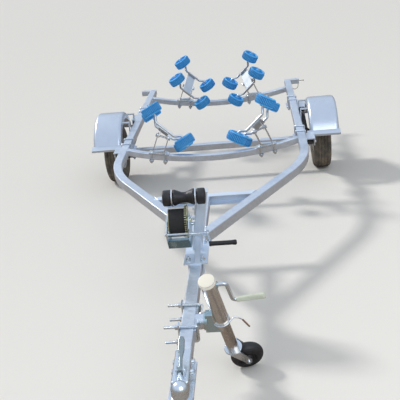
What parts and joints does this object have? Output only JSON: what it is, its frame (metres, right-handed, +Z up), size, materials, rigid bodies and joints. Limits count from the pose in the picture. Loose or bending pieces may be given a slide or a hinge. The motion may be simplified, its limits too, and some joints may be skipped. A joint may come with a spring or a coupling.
{
  "type": "boat trailer",
  "caption": "Small unbraked roller boat trailer of galvanised tube, with winch post, jockey wheel and rocking hull roller cradles.",
  "frame": {"origin": "bottom centre of the whole, on the ground the wheels and the jockey wheel stand on", "axes": "+X to the right seen from the coupler looking along the trailer, +Y from the coupler to the rear, +Z up"},
  "size_m": [1.68, 4.3034, 0.7445],
  "materials": {
    "galvanised": "hot-dip galvanised steel, matt grey",
    "bright_zinc": "bright zinc plated",
    "gear_zinc": "yellow passivated zinc",
    "spring_black": "satin black",
    "fender": "galvanised sheet",
    "rim": "galvanised pressed rim",
    "tyre_rubber": "matt rubber",
    "roller_blue": "moulded blue rubber",
    "jockey_black": "solid rubber",
    "strap": "woven webbing"
  },
  "bodies": {
    "chassis": {"drawbar": "galvanised", "crossbar": "galvanised", "crossmember_front": "galvanised", "crossmember_rear": "galvanised", "axle_beam": "galvanised", "coupler_body": "bright_zinc", "jack_bracket": "bright_zinc", "winch_post": "galvanised", "winch_post_clamp": "galvanised", "winch_frame": "bright_zinc", "bow_roller_bracket": "bright_zinc", "side_rail_right": "galvanised", "side_rail_left": "galvanised", "leaf_spring_right": "spring_black", "leaf_spring_left": "spring_black", "spring_hangers_right": "galvanised", "spring_hangers_left": "galvanised", "fender_right": "fender", "fender_left": "fender", "lamp_socket_right": "galvanised", "lamp_socket_left": "galvanised", "cradle_stand_front_right": "galvanised", "cradle_stand_front_left": "galvanised", "cradle_stand_rear_right": "galvanised", "cradle_stand_rear_left": "galvanised"},
    "coupler_handle": {"coupler_handle": "bright_zinc"},
    "jack_tube": {"jack_outer_tube": "bright_zinc"},
    "jack_leg": {"jack_inner_tube": "bright_zinc"},
    "jack_crank": {"jack_crank": "bright_zinc"},
    "jockey_fork": {"jockey_fork": "bright_zinc"},
    "jockey_wheel": {"jockey_wheel": "jockey_black"},
    "winch_drum": {"winch_drum": "gear_zinc", "winch_strap": "strap"},
    "winch_crank": {"winch_crank": "bright_zinc"},
    "bow_roller": {"bow_roller": "jockey_black"},
    "road_wheel_right": {"road_wheel_right": "rim", "tyre_right": "tyre_rubber"},
    "cradle_front_right": {"cradle_swing_front_right": "bright_zinc"},
    "hull_roller_front_outer_a_right": {"hull_roller_front_outer_a_right": "roller_blue"},
    "hull_roller_front_outer_b_right": {"hull_roller_front_outer_b_right": "roller_blue"},
    "hull_roller_front_inner_a_right": {"hull_roller_front_inner_a_right": "roller_blue"},
    "hull_roller_front_inner_b_right": {"hull_roller_front_inner_b_right": "roller_blue"},
    "cradle_rear_right": {"cradle_swing_rear_right": "bright_zinc"},
    "hull_roller_rear_outer_a_right": {"hull_roller_rear_outer_a_right": "roller_blue"},
    "hull_roller_rear_outer_b_right": {"hull_roller_rear_outer_b_right": "roller_blue"},
    "hull_roller_rear_inner_a_right": {"hull_roller_rear_inner_a_right": "roller_blue"},
    "hull_roller_rear_inner_b_right": {"hull_roller_rear_inner_b_right": "roller_blue"},
    "road_wheel_left": {"road_wheel_left": "rim", "tyre_left": "tyre_rubber"},
    "cradle_front_left": {"cradle_swing_front_left": "bright_zinc"},
    "hull_roller_front_outer_a_left": {"hull_roller_front_outer_a_left": "roller_blue"},
    "hull_roller_front_outer_b_left": {"hull_roller_front_outer_b_left": "roller_blue"},
    "hull_roller_front_inner_a_left": {"hull_roller_front_inner_a_left": "roller_blue"},
    "hull_roller_front_inner_b_left": {"hull_roller_front_inner_b_left": "roller_blue"},
    "cradle_rear_left": {"cradle_swing_rear_left": "bright_zinc"},
    "hull_roller_rear_outer_a_left": {"hull_roller_rear_outer_a_left": "roller_blue"},
    "hull_roller_rear_outer_b_left": {"hull_roller_rear_outer_b_left": "roller_blue"},
    "hull_roller_rear_inner_a_left": {"hull_roller_rear_inner_a_left": "roller_blue"},
    "hull_roller_rear_inner_b_left": {"hull_roller_rear_inner_b_left": "roller_blue"}
  },
  "joints": [
    {"name": "coupler_latch", "type": "hinge", "parent": "chassis", "child": "coupler_handle", "pos_m": [0, -2.05616, 0.29923], "axis": [1, 0, 0], "range_deg": [0, 70]},
    {"name": "jack_swing", "type": "hinge", "parent": "chassis", "child": "jack_tube", "pos_m": [0.033, -1.69297, 0.27509], "axis": [1, 0, 0], "range_deg": [0, 65]},
    {"name": "jack_extend", "type": "slide", "parent": "jack_tube", "child": "jack_leg", "axis": [0.14, 0.4538, -0.88], "range_m": [-0.10001, 0.06001]},
    {"name": "jack_crank_turn", "type": "hinge", "parent": "jack_tube", "child": "jack_crank", "pos_m": [0.09189, -1.79655, 0.46279], "axis": [0.9902, -0.0641, 0.1244], "range_deg": [-9000, 5400]},
    {"name": "jockey_swivel", "type": "hinge", "parent": "jack_leg", "child": "jockey_fork", "pos_m": [0.121, -1.70216, 0.27974], "axis": [-0.14, -0.4538, 0.88], "continuous": true},
    {"name": "jockey_wheel_spin", "type": "hinge", "parent": "jockey_fork", "child": "jockey_wheel", "pos_m": [0.19601, -1.57966, 0.06035], "axis": [0.2059, -0.8827, -0.4225], "continuous": true},
    {"name": "winch_drum_turn", "type": "hinge", "parent": "chassis", "child": "winch_drum", "pos_m": [0, -1.19968, 0.4861], "axis": [1, 0, 0], "continuous": true},
    {"name": "winch_crank_turn", "type": "hinge", "parent": "chassis", "child": "winch_crank", "pos_m": [0, -1.1713, 0.4129], "axis": [1, 0, 0], "continuous": true},
    {"name": "bow_roller_spin", "type": "hinge", "parent": "chassis", "child": "bow_roller", "pos_m": [-0.028, -1.1834, 0.58379], "axis": [1, 0, 0], "continuous": true},
    {"name": "road_wheel_right_spin", "type": "hinge", "parent": "chassis", "child": "road_wheel_right", "pos_m": [0.727, 1.05371, 0.205], "axis": [1, 0, 0], "continuous": true},
    {"name": "cradle_front_right_rock", "type": "hinge", "parent": "chassis", "child": "cradle_front_right", "pos_m": [0.305, 0.46316, 0.44361], "axis": [0.9239, -0.0146, 0.3824], "range_deg": [0, 57.5]},
    {"name": "hull_roller_front_outer_a_right_spin", "type": "hinge", "parent": "cradle_front_right", "child": "hull_roller_front_outer_a_right", "pos_m": [0.352, 0.40978, 0.63123], "axis": [0.463, 0.1201, 0.8782], "continuous": true},
    {"name": "hull_roller_front_outer_b_right_spin", "type": "hinge", "parent": "cradle_front_right", "child": "hull_roller_front_outer_b_right", "pos_m": [0.38176, 0.59557, 0.56644], "axis": [0.463, 0.1201, 0.8782], "continuous": true},
    {"name": "hull_roller_front_inner_a_right_spin", "type": "hinge", "parent": "cradle_front_right", "child": "hull_roller_front_inner_a_right", "pos_m": [0.16208, 0.37774, 0.42513], "axis": [0.463, 0.1201, 0.8782], "continuous": true},
    {"name": "hull_roller_front_inner_b_right_spin", "type": "hinge", "parent": "cradle_front_right", "child": "hull_roller_front_inner_b_right", "pos_m": [0.19183, 0.56353, 0.36035], "axis": [0.463, 0.1201, 0.8782], "continuous": true},
    {"name": "cradle_rear_right_rock", "type": "hinge", "parent": "chassis", "child": "cradle_rear_right", "pos_m": [0.24, 1.87233, 0.49249], "axis": [0.9239, -0.0146, 0.3824], "range_deg": [-57, 0]},
    {"name": "hull_roller_rear_outer_a_right_spin", "type": "hinge", "parent": "cradle_rear_right", "child": "hull_roller_rear_outer_a_right", "pos_m": [0.3121, 1.72123, 0.58487], "axis": [0.4918, -0.1407, 0.8593], "continuous": true},
    {"name": "hull_roller_rear_outer_b_right_spin", "type": "hinge", "parent": "cradle_rear_right", "child": "hull_roller_rear_outer_b_right", "pos_m": [0.27062, 1.88417, 0.69131], "axis": [0.4918, -0.1407, 0.8593], "continuous": true},
    {"name": "hull_roller_rear_inner_a_right_spin", "type": "hinge", "parent": "cradle_rear_right", "child": "hull_roller_rear_inner_a_right", "pos_m": [0.13394, 1.7883, 0.37477], "axis": [0.4918, -0.1407, 0.8593], "continuous": true},
    {"name": "hull_roller_rear_inner_b_right_spin", "type": "hinge", "parent": "cradle_rear_right", "child": "hull_roller_rear_inner_b_right", "pos_m": [0.09246, 1.95125, 0.4812], "axis": [0.4918, -0.1407, 0.8593], "continuous": true},
    {"name": "road_wheel_left_spin", "type": "hinge", "parent": "chassis", "child": "road_wheel_left", "pos_m": [-0.727, 1.05371, 0.205], "axis": [1, 0, 0], "continuous": true},
    {"name": "cradle_front_left_rock", "type": "hinge", "parent": "chassis", "child": "cradle_front_left", "pos_m": [-0.305, 0.46316, 0.44361], "axis": [0.9239, 0.0146, -0.3824], "range_deg": [0, 57.5]},
    {"name": "hull_roller_front_outer_a_left_spin", "type": "hinge", "parent": "cradle_front_left", "child": "hull_roller_front_outer_a_left", "pos_m": [-0.352, 0.40978, 0.63123], "axis": [0.463, -0.1201, -0.8782], "continuous": true},
    {"name": "hull_roller_front_outer_b_left_spin", "type": "hinge", "parent": "cradle_front_left", "child": "hull_roller_front_outer_b_left", "pos_m": [-0.38176, 0.59557, 0.56644], "axis": [0.463, -0.1201, -0.8782], "continuous": true},
    {"name": "hull_roller_front_inner_a_left_spin", "type": "hinge", "parent": "cradle_front_left", "child": "hull_roller_front_inner_a_left", "pos_m": [-0.16208, 0.37774, 0.42513], "axis": [0.463, -0.1201, -0.8782], "continuous": true},
    {"name": "hull_roller_front_inner_b_left_spin", "type": "hinge", "parent": "cradle_front_left", "child": "hull_roller_front_inner_b_left", "pos_m": [-0.19183, 0.56353, 0.36035], "axis": [0.463, -0.1201, -0.8782], "continuous": true},
    {"name": "cradle_rear_left_rock", "type": "hinge", "parent": "chassis", "child": "cradle_rear_left", "pos_m": [-0.24, 1.87233, 0.49249], "axis": [0.9239, 0.0146, -0.3824], "range_deg": [-57, 0]},
    {"name": "hull_roller_rear_outer_a_left_spin", "type": "hinge", "parent": "cradle_rear_left", "child": "hull_roller_rear_outer_a_left", "pos_m": [-0.3121, 1.72123, 0.58487], "axis": [0.4918, 0.1407, -0.8593], "continuous": true},
    {"name": "hull_roller_rear_outer_b_left_spin", "type": "hinge", "parent": "cradle_rear_left", "child": "hull_roller_rear_outer_b_left", "pos_m": [-0.27062, 1.88417, 0.69131], "axis": [0.4918, 0.1407, -0.8593], "continuous": true},
    {"name": "hull_roller_rear_inner_a_left_spin", "type": "hinge", "parent": "cradle_rear_left", "child": "hull_roller_rear_inner_a_left", "pos_m": [-0.13394, 1.7883, 0.37477], "axis": [0.4918, 0.1407, -0.8593], "continuous": true},
    {"name": "hull_roller_rear_inner_b_left_spin", "type": "hinge", "parent": "cradle_rear_left", "child": "hull_roller_rear_inner_b_left", "pos_m": [-0.09246, 1.95125, 0.4812], "axis": [0.4918, 0.1407, -0.8593], "continuous": true}
  ],
  "couplings": [
    {"joint": "jack_extend", "follows": "jack_crank_turn", "m_per_rad": 0.00063662},
    {"joint": "winch_crank_turn", "follows": "winch_drum_turn", "ratio": -4.7778}
  ]
}
